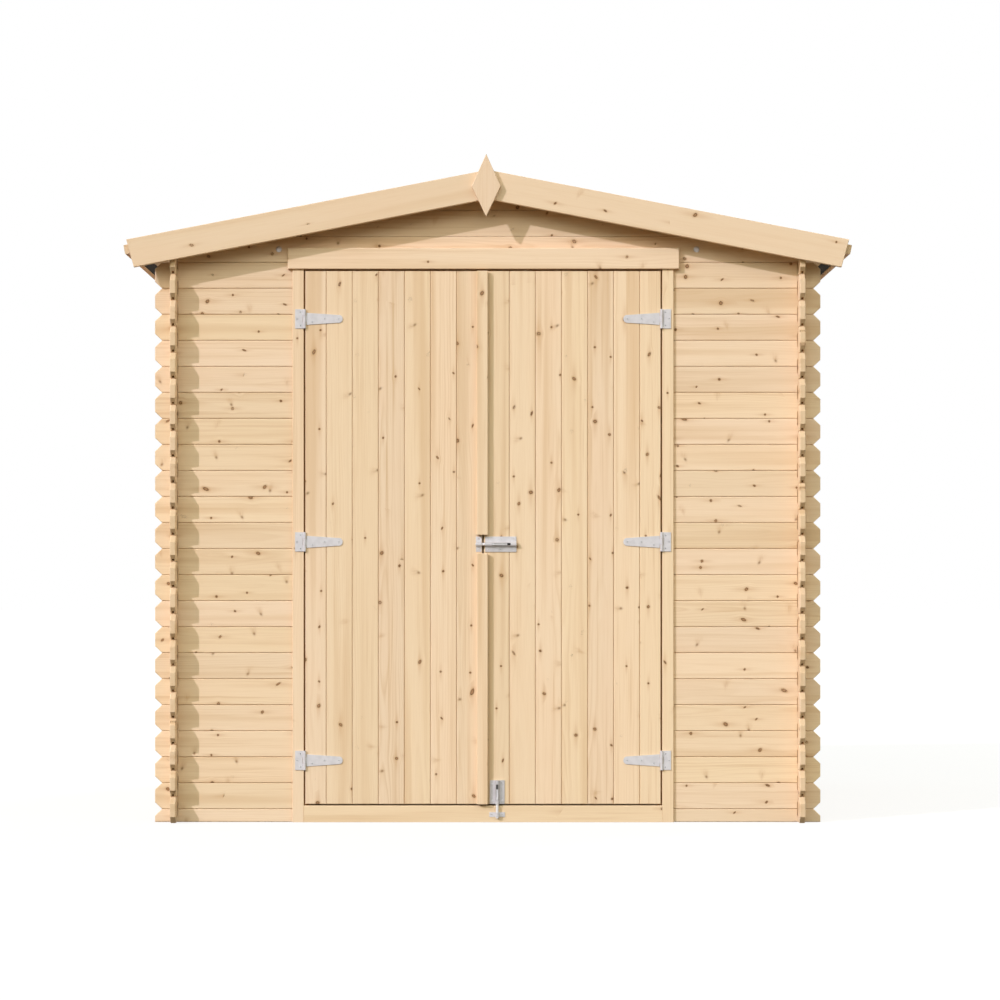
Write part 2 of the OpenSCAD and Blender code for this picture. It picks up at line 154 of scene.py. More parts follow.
class Timber(Piece):
    """One mesh of many boards. Each board lies in its own part of the grain, which
    the vertex attributes grain (along, across, deep) and tone carry to the material."""

    def __init__(self, name):
        super().__init__(name)
        self.grain = self.bm.verts.layers.float_vector.new("grain")
        self.tone = self.bm.verts.layers.float.new("tone")
        # end browns the sawn ends; edge paints shade on the faces in joints, gaps and recesses
        self.end = self.bm.faces.layers.float.new("end")
        self.edge = self.bm.faces.layers.float.new("edge")

    def log(self, outline, w0, w1):
        """What the layers of one board share: its heart, its middle and its tone."""
        heart = Vector((rng.uniform(0, 40), rng.uniform(-0.06, 0.06), rng.uniform(0.015, 0.09)))
        middle = sum((Vector((*p, (w0 + w1) / 2)) for p in outline), Vector()) / len(outline)
        return heart, middle, rng.random()

    def prism(self, outline, w0, w1, place=XY, along=U, deep=W, chamfer=CHAMFER, shape=None, log=None,
              edge=0.0, caps=(0.0, 0.0)):
        """A board: an outline in the place's first two axes, from w0 to w1 along its third.
        The grain runs along, and deep points from the heart of the log to the face. The
        sawn ends are darker, the slanted ones partly as painted shade; the edges and the caps at w0 and w1
        get painted shade as far as told."""
        across = deep.cross(along)
        heart, middle, tone = log or self.log(outline, w0, w1)
        c0, c1 = chamfer if isinstance(chamfer, tuple) else (chamfer, chamfer)
        rings = [(inset(outline, c0), w0), (outline, w0 + c0)] if c0 else [(outline, w0)]
        rings += [(outline, w1 - c1), (inset(outline, c1), w1)] if c1 else [(outline, w1)]
        made = []
        for points, w in rings:
            row = []
            for p in points:
                local = Vector((*p, w))
                world = place @ local
                vert = self.bm.verts.new(shape(world) if shape else world)
                off = local - middle
                vert[self.grain] = heart + Vector((local.dot(along), off.dot(across), off.dot(deep)))
                vert[self.tone] = tone
                row.append(vert)
            made.append(row)
        mirrored = place.determinant() < 0
        faces = [list(reversed(made[0])), made[-1]]
        for low, high in zip(made, made[1:]):
            for k in range(len(low)):
                n = (k + 1) % len(low)
                faces.append([low[k], low[n], high[n], high[k]])
        grain_way = (place.to_3x3() @ along).normalized()
        across_way = (place.to_3x3() @ across).normalized()
        for k, verts in enumerate(faces):
            face = self.bm.faces.new(reversed(verts) if mirrored else verts)
            face.normal_update()
            facing = abs(face.normal.dot(grain_way))
            if k < 2:
                face[self.edge] = caps[k]
            narrow = min(e.calc_length() for e in face.edges) < NARROW
            if facing > 0.9:
                face[self.end] = END_SHADE[0]
            # slanted ends: end grain, darker still as painted shade
            elif facing > 0.6 and not narrow:
                face[self.end] = END_SHADE[1]
            # the faces that lie in a joint get painted shade
            elif abs(face.normal.dot(across_way)) > 0.9:
                face[self.edge] = edge

    def tongued(self, cheek, core, w0, w1, place, along=U, deep=W, shape=None):
        """A board in three layers: two cheeks with eased edges, and a core between them
        that stands proud as the tongue and falls back as the groove."""
        log = self.log(cheek, w0, w1)
        inner, outer = (w0 + w1 - TONGUE[0]) / 2, (w0 + w1 + TONGUE[0]) / 2
        # the cheeks' inner faces and the tongue's core lie in the joint and get painted shade
        self.prism(cheek, w0, inner, place, along, deep, (CHAMFER, 0), shape, log, JOINT_PAINTED_SHADE, (0, 1))
        self.prism(core, inner, outer, place, along, deep, 0, shape, log, 1, (JOINT_PAINTED_SHADE, JOINT_PAINTED_SHADE))
        self.prism(cheek, outer, w1, place, along, deep, (0, CHAMFER), shape, log, JOINT_PAINTED_SHADE, (1, 0))

    def paint_stop_shade(self, y):
        """Paints shade on the faces that look to the front at y: the stops behind the leaves' edges, at the
        back of the gaps.
        """
        for face in self.bm.faces:
            if face.normal.y < -0.9 and abs(face.calc_center_median().y - y) < 0.0005:
                face[self.edge] = STOP_SHADE


# ---- materials ----


class Graph:
    """Short names for building the nodes of a new material or world."""

    def __init__(self, owner):
        owner.use_nodes = True
        self.owner = owner
        self.tree = owner.node_tree
        self.bsdf = self.tree.nodes.get("Principled BSDF")

    def add(self, kind, inputs=(), **settings):
        node = self.tree.nodes.new(kind)
        for key, value in settings.items():
            setattr(node, key, value)
        for key, value in dict(inputs).items():
            self.feed(node.inputs[key], value)
        return node

    def feed(self, socket, value):
        if isinstance(value, bpy.types.NodeSocket):
            self.tree.links.new(value, socket)
        else:
            socket.default_value = value

    def math(self, operation, *values, clamp=False):
        node = self.add("ShaderNodeMath", enumerate(values), operation=operation, use_clamp=clamp)
        return node.outputs[0]

    def vector(self, operation, *values):
        node = self.add("ShaderNodeVectorMath", enumerate(values), operation=operation)
        return node.outputs["Value" if operation in ("LENGTH", "DOT_PRODUCT") else "Vector"]

    def times(self, first, *others):
        for other in others:
            first = self.math("MULTIPLY", first, other)
        return first

    def line(self, value, slope, start):
        """Value times slope, and start added."""
        return self.math("MULTIPLY_ADD", value, slope, start)

    def attribute(self, name, output="Fac"):
        return self.add("ShaderNodeAttribute", attribute_name=name).outputs[output]

    def join(self, x, y, z):
        return self.add("ShaderNodeCombineXYZ", {0: x, 1: y, 2: z}).outputs[0]

    def split(self, vector):
        return self.add("ShaderNodeSeparateXYZ", {0: vector}).outputs

    def steps(self, value, low, high, to_low=0.0, to_high=1.0):
        """A smooth step of value from low to high."""
        node = self.add("ShaderNodeMapRange", {0: value, 1: low, 2: high, 3: to_low, 4: to_high},
                        interpolation_type="SMOOTHSTEP")
        return node.outputs[0]

    def noise(self, vector, scale, detail=2.0, roughness=0.5):
        settings = {"Vector": vector, "Scale": scale, "Detail": detail, "Roughness": roughness}
        return self.add("ShaderNodeTexNoise", settings).outputs["Fac"]

    def streaks(self, vector, along, across, detail=2.0, roughness=0.5):
        """Noise drawn out in one direction: how fine it is along that and across it."""
        stretched = self.vector("MULTIPLY", vector, (along, across, across))
        return self.noise(stretched, 1.0, detail, roughness)

    def mix(self, factor, a, b, blend="MIX"):
        node = self.add("ShaderNodeMix", data_type="RGBA", blend_type=blend, clamp_factor=True)
        self.feed(node.inputs[0], factor)
        self.feed(node.inputs[6], (*a, 1) if isinstance(a, tuple) else a)
        self.feed(node.inputs[7], (*b, 1) if isinstance(b, tuple) else b)
        return node.outputs[2]

    def ramp(self, value, stops):
        """Levels or colours between the stops, whose first two are marks that the node has."""
        node = self.add("ShaderNodeValToRGB", {0: value})
        marks = node.color_ramp.elements
        for k, (at, level) in enumerate(stops):
            mark = marks[k] if k < 2 else marks.new(at)
            mark.position = at
            mark.color = level if isinstance(level, tuple) else (level, level, level, 1)
        return node.outputs[0]

    def blend(self, factor, a, b):
        """A mix of two shaders."""
        return self.add("ShaderNodeMixShader", {0: factor, 1: a, 2: b}).outputs[0]

    def surface(self, colour, height, bump, **inputs):
        """Feeds the shader: bump is the distance and the strength of the height's relief."""
        relief = {"Height": height, "Distance": bump[0], "Strength": bump[1]}
        inputs.update(Base_Color=colour, Normal=self.add("ShaderNodeBump", relief).outputs[0])
        for name, value in inputs.items():
            self.feed(self.bsdf.inputs[name.replace("_", " ")], value)


EULER = 2.718


def gauss(g, *parts):
    """A round bump: 1 where all parts are 0, fading as their squares add up."""
    total = g.vector("LENGTH", g.join(*parts, 0.0)) if len(parts) > 1 else parts[0]
    return g.math("POWER", EULER, g.times(g.times(total, total), -1.0))


def scatter(g, a, b, cell):
    """One spot in each cell of a board's face: the way to it and its three random numbers."""
    place = g.join(g.math("DIVIDE", a, cell[0]), g.math("DIVIDE", b, cell[1]), 0.0)
    spots = g.add("ShaderNodeTexVoronoi", {"Vector": place, "Scale": 1.0, "Randomness": 0.9},
                  voronoi_dimensions="2D", feature="F1")
    off = g.vector("MULTIPLY", g.vector("SUBTRACT", place, spots.outputs["Position"]), (*cell, 0.0))
    da, db, _ = g.split(off)
    return da, db, g.split(spots.outputs["Color"])


def ring_lines(g, grain, a, b, c, tone, vigour):
    """Growth rings round a heart behind the board, which show as lines and arches."""
    distance = g.vector("LENGTH", g.join(b, c, 0.0))
    distance = g.math("ADD", distance, g.times(g.streaks(grain, 1.6, 9.0), 0.030))
    distance = g.line(a, 0.007, distance)
    uneven = g.noise(g.join(distance, tone, 0.0), 60.0, 1.0)
    phase = g.line(uneven, 2.6, g.times(distance, 190.0))
    rings = g.ramp(g.math("FRACT", phase), [(0.0, 0.0), (1.0, 0.0), (0.45, 0.10), (0.82, 1.0)])
    strong = g.steps(g.streaks(grain, 0.5, 16.0), 0.40, 0.74, 0.12, 1.0)
    return g.math("MULTIPLY", rings, g.times(strong, g.line(vigour, 0.9, 0.30)), clamp=True)


def planed(g, grain, parted, pale, deep, dice, rings, fibre, figure):
    """The wood between the knots: boards from rosy to straw, with rings, bands and streaks."""
    rosy, straw = (tuple(v * k for v, k in zip(pale, tint)) for tint in (ROSY, STRAW))
    cloud = g.streaks(grain, 2.0, 7.0)
    band = g.streaks(parted, 0.6, 22.0, 1.0)
    streak = g.streaks(parted, 1.5, 75.0, 3.0, 0.6)
    colour = g.mix(g.steps(cloud, 0.42, 0.68, 0.0, 0.7), pale, rosy)
    colour = g.mix(g.times(dice[2], 0.8), colour, straw)
    colour = g.mix(g.times(rings, 0.55 * figure), colour, deep)
    colour = g.mix(g.steps(band, 0.50, 0.74, 0.0, 0.55 * figure), colour, deep)
    streaky = g.line(dice[0], 0.55 * figure, 0.32 * figure)
    colour = g.mix(g.times(g.steps(streak, 0.50, 0.78), streaky), colour, deep)
    return g.mix(g.steps(fibre, 0.35, 0.8, 0.0, 0.20), colour, deep)


def branch_smudges(g, colour, grain, a, b, share, brown):
    """Branches cut lengthwise: a dark dot from which a soft fan runs across the board."""
    da, db, lot = scatter(g, g.math("ADD", a, 3.7), b, SMUDGE_CELL)
    there = g.math("LESS_THAN", lot[1], g.times(share, 0.75))
    along = g.line(db, g.times(g.math("SUBTRACT", lot[2], 0.5), 0.9), da)
    width = g.math("MAXIMUM", g.line(db, 0.30, 0.0085), 0.0030)
    fan = gauss(g, g.math("DIVIDE", along, width), g.math("DIVIDE", db, 0.0150))
    fan = g.times(fan, there, g.steps(g.streaks(grain, 150.0, 45.0), 0.28, 0.62, 0.35, 1.0))
    colour = g.mix(g.times(fan, 0.42), colour, brown)
    dot = gauss(g, g.math("DIVIDE", along, 0.0042), g.math("DIVIDE", g.math("ADD", db, 0.0085), 0.0048))
    dot = g.times(dot, there, g.math("GREATER_THAN", lot[0], 0.5))
    return g.mix(g.times(dot, 0.72), colour, SMUDGE_DOT)


def knot_spots(g, grain, a, b, share, cell):
    """Small round knots, at most one in each cell. Gives the distance to it in its radii, 1
    where there is one, 1 where it is light, how far it pushes the grain, and its tails."""
    da, db, lot = scatter(g, a, b, cell)
    there = g.math("LESS_THAN", lot[1], share)
    radius = g.line(g.math("POWER", lot[0], 2.5), 0.0030, 0.0028)
    lean = g.times(g.math("POWER", g.math("SUBTRACT", lot[2], 0.5), 3.0), 8.0)
    drawn = g.line(g.math("POWER", lot[2], 6.0), 0.7, 0.90)
    long = g.math("DIVIDE", g.line(db, lean, da), drawn)
    far = g.math("DIVIDE", g.vector("LENGTH", g.join(long, db, 0.0)), radius)
    edge = g.math("ADD", far, g.line(g.noise(grain, 420.0), 1.0, -0.5))
    push = g.times(db, g.times(gauss(g, g.times(far, 0.30)), there), 0.9)
    tails = gauss(g, g.math("DIVIDE", da, g.times(radius, 8.0)), g.math("DIVIDE", db, g.times(radius, 1.5)))
    return edge, there, g.math("GREATER_THAN", lot[0], 0.66), push, g.times(tails, there)


def knotted(g, colour, spots, brown):
    """The colour with the knots laid over it: tails, a halo, the knot and its dark rim."""
    edge, there, light, _, tails = spots
    colour = g.mix(g.times(tails, 0.36), colour, brown)
    colour = g.mix(g.times(g.steps(edge, 2.6, 0.9), g.times(there, 0.50)), colour, brown)
    heart = g.math("FRACT", g.times(edge, 2.4))
    knot = g.mix(light, g.mix(heart, *DARK_KNOT), g.mix(heart, *LIGHT_KNOT))
    colour = g.mix(g.times(g.steps(edge, 1.2, 0.85), there, 0.82), colour, knot)
    rim = g.times(g.steps(edge, 0.55, 0.9), g.steps(edge, 1.35, 1.0), there)
    return g.mix(g.times(rim, 0.8), colour, KNOT_RIM)


def spruce(name, pale, deep, knots=0.5, cell=(0.20, 0.060), figure=1.0):
    """Planed spruce: growth rings, darker bands and streaks, small round knots that part
    the grain, and the smudges of branches cut lengthwise. Figure is how strong the lines are."""
    g = Graph(bpy.data.materials.new(name))
    grain, tone = g.attribute("grain", "Vector"), g.attribute("tone")
    a, b, c = g.split(grain)
    dice = g.split(g.add("ShaderNodeTexWhiteNoise", {"W": tone}, noise_dimensions="1D").outputs["Color"])
    crowd = g.steps(g.streaks(grain, 1.6, 1.0, 1.0), 0.38, 0.62, 0.35, 1.5)
    share = g.times(g.line(dice[1], 1.3, 0.3), crowd, knots)
    spots = edge, there, _, push, _ = knot_spots(g, grain, a, b, share, cell)
    b_parted = g.math("SUBTRACT", b, push)
    rings = ring_lines(g, grain, a, b_parted, c, tone, dice[0])
    fibre = g.streaks(grain, 11.0, 700.0)

    colour = planed(g, grain, g.join(a, b_parted, c), pale, deep, dice, rings, fibre, figure)
    level = g.line(tone, -0.075, 1.035)
    shade = g.add("ShaderNodeCombineColor", {0: level, 1: level, 2: level}).outputs[0]
    colour = g.mix(1.0, colour, shade, blend="MULTIPLY")
    brown = tuple(v * k for v, k in zip(deep, BROWN))
    colour = knotted(g, branch_smudges(g, colour, grain, a, b, knots, brown), spots, brown)
    # sawn ends turn brown, the slanted ones further as painted shade
    colour = g.mix(g.attribute("end"), colour, SAWN)
    # painted shade on the faces in joints, gaps and recesses
    colour = g.mix(g.attribute("edge"), colour, JOINT_SHADE_BROWN)
    height = g.math("ADD", g.times(rings, 0.35), g.times(fibre, 0.65))
    core = g.times(g.steps(edge, 1.2, 0.8), there)
    g.surface(colour, g.math("SUBTRACT", height, g.times(core, 0.7)), (0.00018, 0.6),
              Roughness=g.line(rings, -0.08, 0.62), Specular_IOR_Level=0.14)
    return g.owner


def zinc(name, tint, metallic):
    """Bright zinc plate on pressed steel, with faint rolling marks. It is darkened where its
    face attribute says so: painted shade in the bolt cases' hollows and on their lee flanks, and a slight
    darkening of the cases."""
    g = Graph(bpy.data.materials.new(name))
    where = g.add("ShaderNodeTexCoord").outputs["Object"]
    rolled = g.noise(g.vector("MULTIPLY", where, (60.0, 400.0, 900.0)), 1.0)
    worn = tuple(v * 0.90 for v in tint)
    colour = g.mix(g.steps(g.noise(where, 45.0), 0.35, 0.70), tint, worn)
    # painted shade and darkening on the bolt cases
    g.surface(g.mix(g.attribute("shade_and_darkening"), colour, SHADE_STEEL), rolled, (0.00008, 0.3),
              Metallic=metallic, Roughness=g.line(rolled, 0.16, 0.26))
    return g.owner


def mineral_felt(name):
    """Bitumen roofing felt with a surface of fine grey granules."""
    g = Graph(bpy.data.materials.new(name))
    where = g.add("ShaderNodeTexCoord").outputs["Object"]
    grit = g.add("ShaderNodeTexVoronoi", {"Vector": where, "Scale": 700.0}, feature="F1")
    speck = g.split(grit.outputs["Color"])[0]
    cloud = g.noise(where, 6.0, 4.0)
    colour = g.mix(g.math("POWER", speck, 2.0), *GRANULES)
    colour = g.mix(g.steps(cloud, 0.3, 0.75, 0.0, 0.45), colour, FELT_BLOOM)
    height = g.math("ADD", g.times(grit.outputs["Distance"], 0.8), cloud)
    g.surface(colour, height, (0.0007, 0.8), Roughness=0.93, Specular_IOR_Level=0.20)
    return g.owner


ROSY = (1.0, 0.955, 0.930)  # tints that a board's pale and deep colours are turned by
STRAW = (0.980, 0.985, 0.875)
BROWN = (0.80, 0.66, 0.52)
DARK_KNOT = ((0.105, 0.043, 0.014), (0.225, 0.102, 0.040))
LIGHT_KNOT = ((0.22, 0.105, 0.044), (0.43, 0.245, 0.120))
KNOT_RIM = (0.10, 0.045, 0.018)
SMUDGE_CELL = (0.30, 0.085)
SMUDGE_DOT = (0.20, 0.085, 0.025)
# the dark that the painted shade on the bolt cases turns to
SHADE_STEEL = (0.045, 0.038, 0.034)
GRANULES = ((0.012, 0.012, 0.013), (0.080, 0.080, 0.085))
FELT_BLOOM = (0.050, 0.047, 0.047)
SAWN = (0.60, 0.42, 0.24)  # the dull brown of sawn ends
JOINT_SHADE_BROWN = (0.60, 0.27, 0.08)  # painted shade: the warm dark brown that stands for the shade inside the joints and gaps
PALE = (0.880, 0.694, 0.519)
DEEP = (0.680, 0.465, 0.265)
wall_spruce = spruce("spruce_wall", PALE, DEEP, knots=0.80, figure=0.9)
door_spruce = spruce("spruce_door", PALE, DEEP, knots=0.47, cell=(0.17, 0.055))
frame_spruce = spruce("spruce_frame", (0.885, 0.700, 0.520), DEEP, knots=0.28, figure=0.7)
trim_spruce = spruce("spruce_trim", (0.825, 0.645, 0.485), DEEP, knots=0.30, figure=0.5)
inner_spruce = spruce("spruce_inner", (0.83, 0.650, 0.470), (0.63, 0.42, 0.245), knots=0.45)
zinc_plate = zinc("zinc_plate", (0.675, 0.66, 0.688), 0.22)
zinc_screw = zinc("zinc_screw", (0.77, 0.765, 0.785), 0.40)
zinc_rod = zinc("zinc_rod", (0.84, 0.83, 0.85), 0.45)
felt = mineral_felt("mineral_felt")


# ---- walls ----


def crossing_end(z0, z1, notches, inner, outer, tip, grooved, tongued, foot=False):
    """Half an outline, climbing on the +u side: a board's end with the notches in which
    the crossing boards lie, and its chamfered tip. A foot has no chamfer below."""
    groove, tongue = TONGUE[2] if grooved else 0.0, TONGUE[1] if tongued else 0.0
    low, high = z0 + groove, z1 + tongue
    lean = TIP[0] / TIP[1]
    near, far = inner - PLAY, outer + PLAY
    points = [(near, low)]
    if notches[0] > z0:
        points += [(near, notches[0]), (far, notches[0]), (far, low)]
    points += [(tip, low)] if foot else [(tip - TIP[0] + lean * groove, low), (tip, z0 + TIP[1])]
    points += [(tip, z1 - TIP[1]), (tip - TIP[0] - lean * tongue, high)]
    if notches[1] < z1:
        points += [(far, high), (far, notches[1]), (near, notches[1])]
    return points + [(near, high)]


def other_side(points):
    return [(-u, v) for u, v in reversed(points)]


def gable_end(k, core):
    """The +X end of a door wall or back wall course; course 0 is the half board."""
    middle = k * board_h
    low = max(middle - board_h / 2, 0) + (JOINT if k else 0)
    high = middle + board_h / 2 - JOINT
    notches = (middle - board_h / 4 if k else low, middle + board_h / 4)
    return crossing_end(low, high, notches, in_x, out_x, front_tip, core and k, core and k < COURSES, k == 0)


def door_wall(side, node, name):
    """The boards on one side of the doorway; side is 1 on the right and -1 on the left."""
    wood = Timber(name)
    lo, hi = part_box(node)
    start = lo.x if side > 0 else -hi.x
    for k in range(COURSES + 1):
        outlines = []
        for core in (False, True):
            end = gable_end(k, core)
            outline = [(start, end[0][1])] + end + [(start, end[-1][1])]
            outlines.append(outline if side > 0 else other_side(outline))
        wood.tongued(*outlines, in_y, out_y, XZ)
    wood.finish(wall_spruce, node)


def back_wall():
    wood = Timber("back_wall_boards")
    for k in range(COURSES + 1):
        ends = [gable_end(k, core) for core in (False, True)]
        wood.tongued(*(end + other_side(end) for end in ends), -out_y, -in_y, XZ, deep=-W)
    wood.finish(wall_spruce, "back_wall")


TONGUE_END = 0.05  # how far the gable boards' tongues stop short of the slope


def gable(name, node, w0, w1, deep):
    """The boards that climb to the ridge above the door wall and the back wall."""
    wood = Timber(name)
    low = wall_top
    while low < ridge_z - 0.01:
        high = min(low + board_h, ridge_z)
        z0, z1 = low + JOINT, high - (JOINT if high < ridge_z else 0)
        right = [(min(in_x, (ridge_z - z0) / tan_p), z0)]
        if (ridge_z - z0) / tan_p > in_x:
            right.append((in_x, roof_at(in_x)))
        right.append(((ridge_z - z1) / tan_p, z1))
        wood.prism(right + (other_side(right) if high < ridge_z else other_side(right)[1:]),
                   w0, w1, XZ, deep=deep)
        if high < ridge_z:
            reach = (ridge_z - high) / tan_p - TONGUE_END
            middle, half = (w0 + w1) / 2, TONGUE[0] / 2
            wood.prism(rect(-reach, high - TONGUE[1], reach, high + TONGUE[1]), middle - half,
                       middle + half, XZ, deep=deep, chamfer=0)
        low = high
    wood.finish(wall_spruce, node)


def side_wall(side, node):
    wood = Timber("side_wall_boards_" + ("right" if side > 0 else "left"))
    w0, w1 = sorted((side * in_x, side * out_x))

    def bevel_top(p):
        over = p.z - (side_top - 0.01)
        return p if over < 0 else Vector((p.x, p.y, p.z - tan_p * (abs(p.x) - in_x)))

    for k in range(COURSES + 1):
        top = k == COURSES
        z0, z1 = k * board_h + (JOINT if k else 0), (k + 1) * board_h - JOINT
        outlines = []
        for core in (False, True):
            end = crossing_end(z0, z1, ((k + 0.25) * board_h, (k + 0.75) * board_h), in_y, out_y,
                               side_tip, core and k, core and not top)
            if top:
                # without the upper notch, up to where the roof's slope will cut it
                end = end[:6] + [(side_tip, z1 - TIP[1]), (side_tip - TIP[0], z1),
                                 (side_tip - TIP[0], side_top)]
            outlines.append(end + other_side(end))
        wood.tongued(*outlines, w0, w1, YZ, deep=W * side, shape=bevel_top if top else None)
    wood.finish(wall_spruce, node)


# ---- frame and trim ----

jamb_l_lo, jamb_l_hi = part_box("door_jamb_left")
jamb_r_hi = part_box("door_jamb_right")[1]
head_lo, head_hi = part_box("door_head")
sill_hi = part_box("door_sill")[1]
face_y = jamb_l_lo.y  # the front of the frame and of the leaves
frame_back_y = jamb_l_hi.y
jamb_in_l, jamb_in_r = head_lo.x, head_hi.x
lintel_lo, lintel_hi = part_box("door_lintel")
head_z = lintel_lo.z
STOP = (0.015, 0.024, 0.020)  # width and setback of the leaf's stop, height on the head
GROOVE = 0.012  # depth of the grooves in the jambs, in which the wall boards end


def jamb(side, node, inner, outer):
    """side is 1 on the right; inner and outer are the distances from the middle."""
    wood = Timber("door_frame_" + node[10:])
    stop_y = face_y + STOP[1]
    low = [(inner, face_y), (outer, face_y), (outer, -out_y), (outer - GROOVE, -out_y),
           (outer - GROOVE, -in_y), (outer, -in_y), (outer, frame_back_y),
           (inner - STOP[0], frame_back_y), (inner - STOP[0], stop_y), (inner, stop_y)]
    high = [(inner, -out_y), (outer - GROOVE, -out_y), (outer - GROOVE, -in_y), (outer, -in_y),
            (outer, frame_back_y), (inner, frame_back_y)]
    for outline, z0, z1, cut in ((low, 0.0, head_z, (0, 1, 6, 7)), (high, head_z, wall_top, ())):
        outline = eased(outline, EASED, cut)
        if side < 0:
            outline = other_side(outline)
        # the faces that look across the doorway get painted shade
        wood.prism(outline, z0, z1, XY, along=W, deep=-V, chamfer=0.0, edge=FRAME_EDGE_SHADE)
    # painted shade on the stop behind the leaf
    wood.paint_stop_shade(stop_y)
    wood.finish(frame_spruce, node)


def door_frame():
    jamb(1, "door_jamb_right", jamb_in_r, jamb_r_hi.x)
    jamb(-1, "door_jamb_left", -jamb_in_l, -jamb_l_lo.x)

    stop_y = face_y + STOP[1]
    sill_front = eased(rect(face_y, 0, stop_y, sill_hi.z), BLUNT, (3,))
    for name, node, plain, stopped in (
            ("door_threshold", "door_sill", sill_front, rect(stop_y, 0, frame_back_y, sill_hi.z)),
            ("door_head_rail", "door_head", rect(-out_y, head_z, frame_back_y, wall_top),
             rect(stop_y, head_z - STOP[2], frame_back_y, head_z))):
        wood = Timber(name)
        for outline, inwards in ((plain, 0), (stopped, STOP[0])):
            wood.prism(outline, jamb_in_l + inwards, jamb_in_r - inwards, YZ, along=W, deep=-U, chamfer=0.0)
        # painted shade on the stop behind the leaves
        wood.paint_stop_shade(stop_y)
        wood.finish(frame_spruce, node)

    cover = Timber("lintel_board")
    # the lintel's top and underside get painted shade
    cover.prism(rect(lintel_lo.x, lintel_lo.z, lintel_hi.x, lintel_hi.z), -lintel_hi.y, -lintel_lo.y, XZ,
                edge=LINTEL_EDGE_SHADE)
    cover.finish(frame_spruce, "door_lintel")


barge_lo, barge_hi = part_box("bargeboard_front_right")
barge_t = barge_hi.y - barge_lo.y
BARGE_H = 0.096
barge_h = BARGE_H / math.cos(PITCH)  # measured upright, and not square to the slope
BARGE_FOOT = 0.0255  # how much shorter a bargeboard's lower edge is
finial_lo, finial_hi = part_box("finial_front")
TRIM_CHAMFER = 0.0014
FINIAL_WAIST = 0.108  # from the finial's tip down to its widest place


def bargeboard(node, x_side, y_side):
    wood = Timber("barge_" + node[11:])
    top, end = barge_hi.z, barge_hi.x
    foot = end - BARGE_FOOT
    outline = [(0, top - barge_h), (foot, top - barge_h - tan_p * foot), (end, top - tan_p * end), (0, top)]
    down = Vector((math.cos(PITCH), -math.sin(PITCH), 0))
    if x_side < 0:
        outline = other_side(outline)
        down.x = -down.x
    w0, w1 = sorted((y_side * deck_y, y_side * (deck_y + barge_t)))
    wood.prism(outline, w0, w1, XZ, along=down, deep=W * y_side, chamfer=TRIM_CHAMFER)
    wood.finish(trim_spruce, node)


def finial(node, y_side):
    wood = Timber("diamond_" + node[7:])
    middle = (finial_lo.x + finial_hi.x) / 2
    waist = finial_hi.z - FINIAL_WAIST
    outline = [(middle, finial_lo.z), (finial_hi.x, waist), (middle, finial_hi.z), (finial_lo.x, waist)]
    w0, w1 = sorted((y_side * (deck_y + barge_t), y_side * (deck_y + 2 * barge_t)))
    wood.prism(outline, w0, w1, XZ, along=V, deep=W * y_side, chamfer=TRIM_CHAMFER)
    wood.finish(trim_spruce, node)


# ---- floor ----

BEARERS = 5
BEARER_W = 0.058
PLANK_JOINT = 0.0006


def floor():
    bearers = Timber("floor_joists")
    lo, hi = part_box("floor_bearers")
    spacing = (hi.y - lo.y - BEARER_W) / (BEARERS - 1)
    for k in range(BEARERS):
        y = lo.y + k * spacing
        outline = eased(rect(y, lo.z, y + BEARER_W, hi.z), EASED)
        bearers.prism(outline, lo.x, hi.x, YZ, along=W, deep=V, chamfer=0.0)
    bearers.finish(inner_spruce, "floor_bearers")

    boards = Timber("floor_planks")
    lo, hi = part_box("floor_boards")
    width = (hi.x - lo.x) / FLOOR_BOARDS
    for k in range(FLOOR_BOARDS):
        x0 = lo.x + k * width
        x1 = x0 + width
        by_frame = x1 > jamb_l_lo.x and x0 < jamb_r_hi.x
        start = frame_back_y if by_frame else lo.y
        outline = rect(x0 + PLANK_JOINT, start, x1 - PLANK_JOINT, hi.y)
        boards.prism(outline, lo.z, hi.z, XY, along=V, deep=W)
    boards.finish(inner_spruce, "floor_boards")


# ---- roof ----

deck_t = 0.019
felt_t = 0.003
fascia_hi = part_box("eave_fascia_right")[1]
FASCIA = (0.016, 0.031, 0.004)  # thickness, height and the lip above the felt
roof_run = (fascia_hi.x - (deck_t + felt_t + FASCIA[2]) * math.sin(PITCH)) / math.cos(PITCH)
deck_run = roof_run - FASCIA[0] - felt_t
FELT_RETURN = (0.032, 0.0008, 0.0003)  # the felt turned back under: its width, taper and ripple
RIDGE_STRIP = 0.125  # width of the ridge felt on each slope
RIDGE_RISE = ((-0.0006, -0.0012), (0.0028, 0.0014))  # its underside and top over the felt
RIPPLE = 0.0005


def slope(side):
    """Local x runs down the slope, local z stands square to it, local y is Y."""
    mirror = Matrix.Scale(-1, 4, Vector((1, 0, 0))) if side < 0 else Matrix.Identity(4)
    return mirror @ Matrix.Translation((0, 0, ridge_z)) @ Matrix.Rotation(PITCH, 4, "Y")


DECK_JOINT = 0.0004


def roof_deck(side, node):
    wood = Timber("roof_planks_" + node[10:])
    width = 2 * deck_y / DECK_BOARDS
    outline = [(0, 0), (deck_run, 0), (deck_run, deck_t), (-deck_t * tan_p, deck_t)]
    for k in range(DECK_BOARDS):
        y0 = -deck_y + k * width
        w0 = y0 + (DECK_JOINT if k else 0)
        w1 = y0 + width - (DECK_JOINT if k < DECK_BOARDS - 1 else 0)
        wood.prism(outline, w0, w1, slope(side) @ XZ, along=U, deep=-V, chamfer=TRIM_CHAMFER)
    wood.finish(inner_spruce, node)


